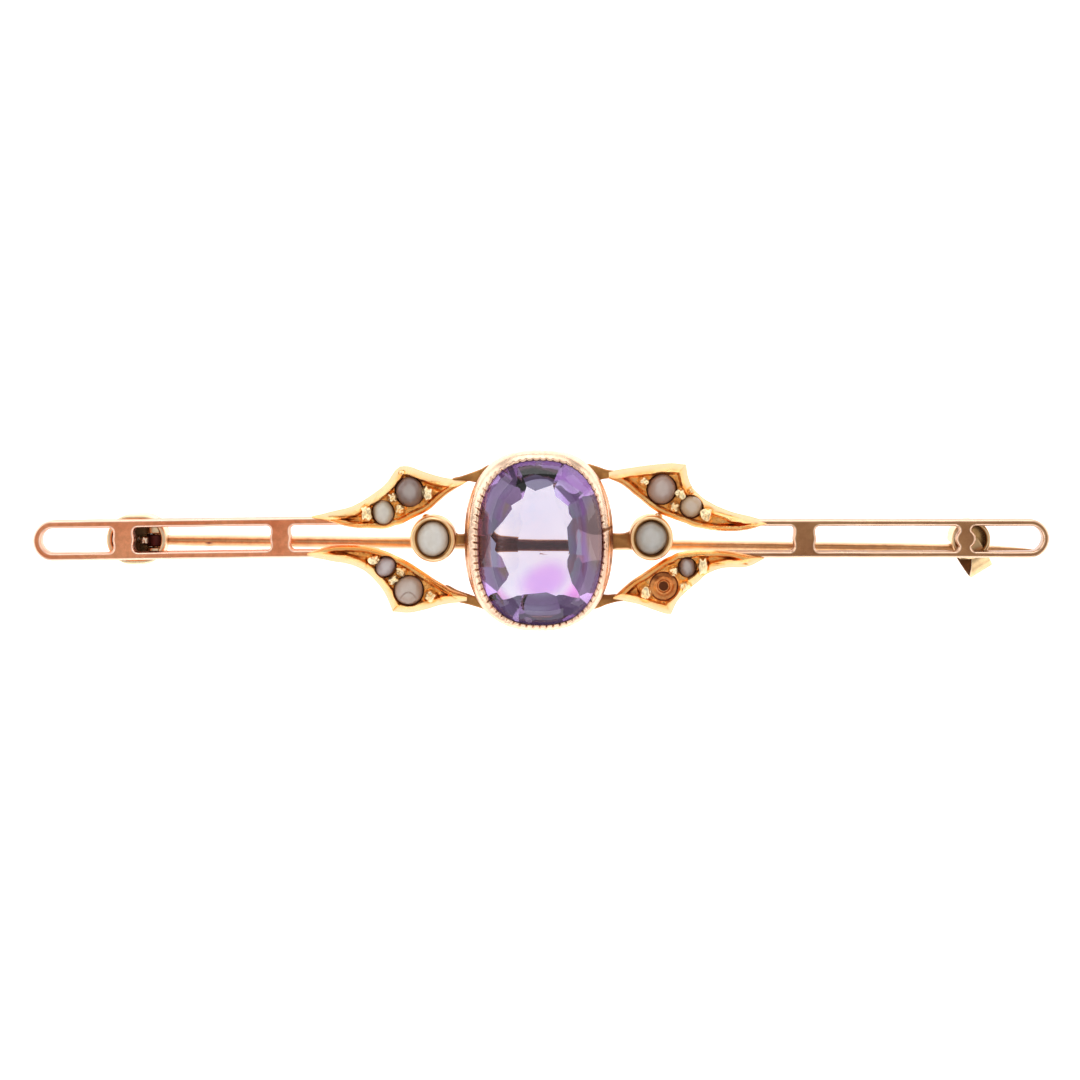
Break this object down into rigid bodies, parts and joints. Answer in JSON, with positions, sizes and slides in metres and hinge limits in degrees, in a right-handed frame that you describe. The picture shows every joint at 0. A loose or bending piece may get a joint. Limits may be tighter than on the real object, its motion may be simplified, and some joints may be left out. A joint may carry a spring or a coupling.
{
  "type": "bar brooch",
  "caption": "Openwork gold bar brooch with a cushion amethyst in a beaded bezel, pearls in leaf motifs and tube collets, and a hinged pin with a C catch.",
  "frame": {"origin": "centre of the bounding box in X and Y, on the surface that the brooch lies on, face up on its hinge and catch", "axes": "X along the bar towards the catch, Y up as worn, Z out of the face towards the viewer"},
  "size_m": [0.052, 0.0092, 0.0049],
  "materials": {
    "gold": "worn polished rose and yellow gold",
    "pin_gold": "dulled polished gold",
    "amethyst": "polished facets",
    "pearl": "soft pearl lustre"
  },
  "bodies": {
    "frame": {"gold_frame": "gold", "amethyst": "amethyst", "collet_pearl_left": "pearl", "collet_pearl_right": "pearl", "leaf_pearl_ul_large": "pearl", "leaf_pearl_ul_small": "pearl", "leaf_pearl_ur_large": "pearl", "leaf_pearl_ur_small": "pearl", "leaf_pearl_ll_large": "pearl", "leaf_pearl_ll_small": "pearl", "leaf_pearl_lr_small": "pearl", "hinge_rivet": "pin_gold"},
    "pin": {"brooch_pin": "pin_gold"}
  },
  "joints": [
    {"name": "pin_hinge", "type": "hinge", "parent": "frame", "child": "pin", "pos_m": [-0.0199, -0.00015, 0.00095], "axis": [0, 1, 0], "range_deg": [0, 70]}
  ]
}
